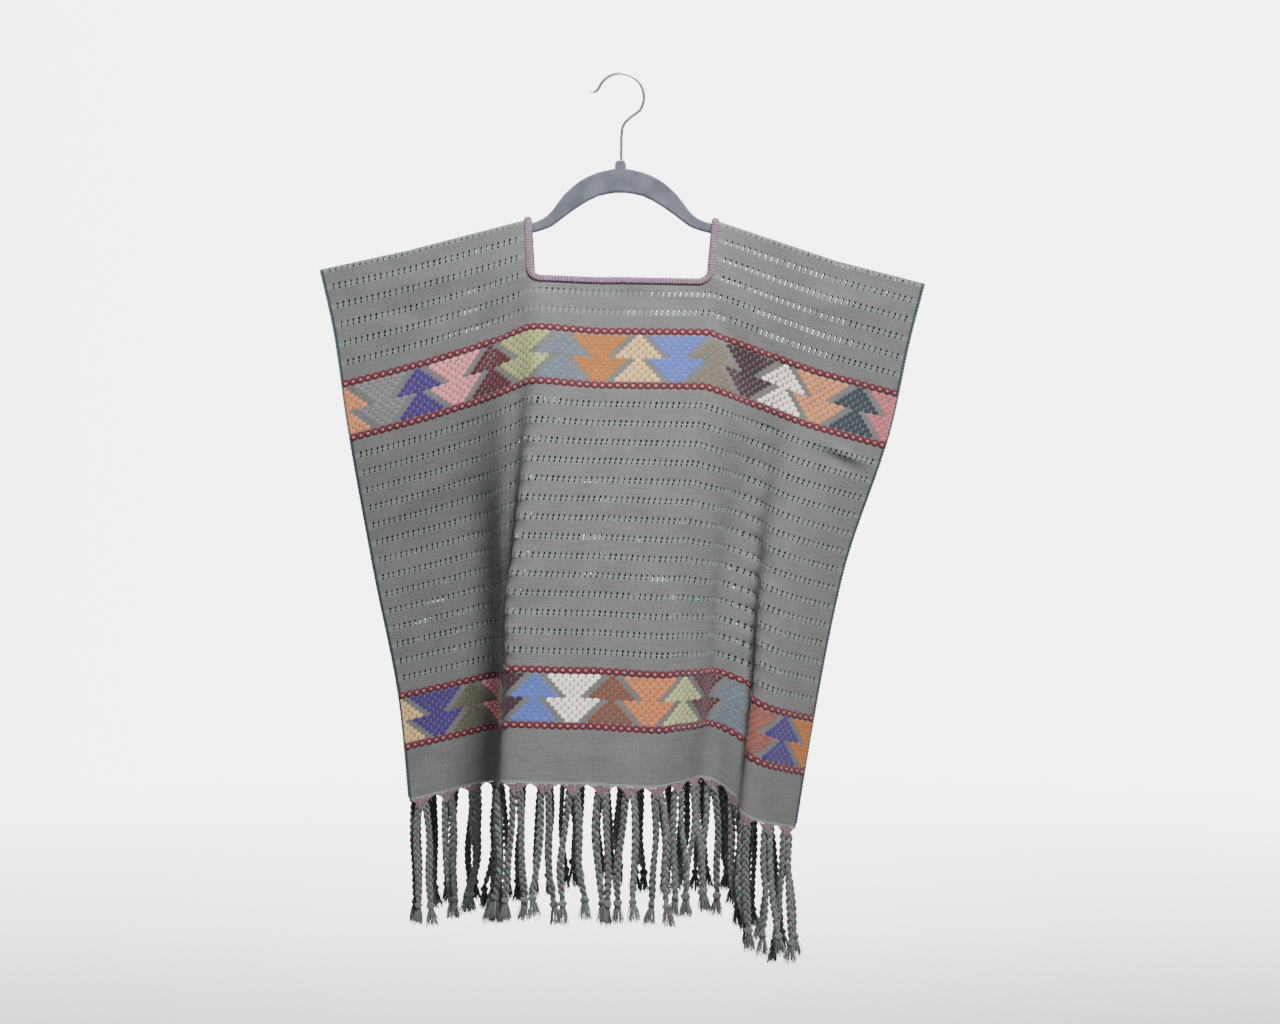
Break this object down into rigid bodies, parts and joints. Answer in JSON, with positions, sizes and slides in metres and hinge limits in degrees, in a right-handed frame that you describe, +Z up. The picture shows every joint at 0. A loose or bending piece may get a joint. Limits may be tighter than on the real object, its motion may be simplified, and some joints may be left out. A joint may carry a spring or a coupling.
{
  "type": "huipil on a hanger",
  "caption": "Square-necked huipil of grey openwork cotton with two brocaded triangle bands and a braided fringe, hung on a flocked hanger with a bright hook.",
  "frame": {"origin": "under the top of the hanger's hook, where a rail or peg bears", "axes": "+Z up, the garment faces -Y, +X to the right as seen from the front"},
  "size_m": [0.6222, 0.185, 0.9266],
  "materials": {
    "cloth": "matte handwoven cotton",
    "binding": "matte ribbed cotton",
    "fringe": "matte braided cotton",
    "flock": "flocked",
    "chrome": "polished wire"
  },
  "bodies": {
    "root": {"front_panel": "cloth", "back_panel": "cloth", "neck_binding": "binding", "front_fringe": "fringe", "back_fringe": "fringe", "hanger_body": "flock", "hook": "chrome"}
  },
  "joints": []
}
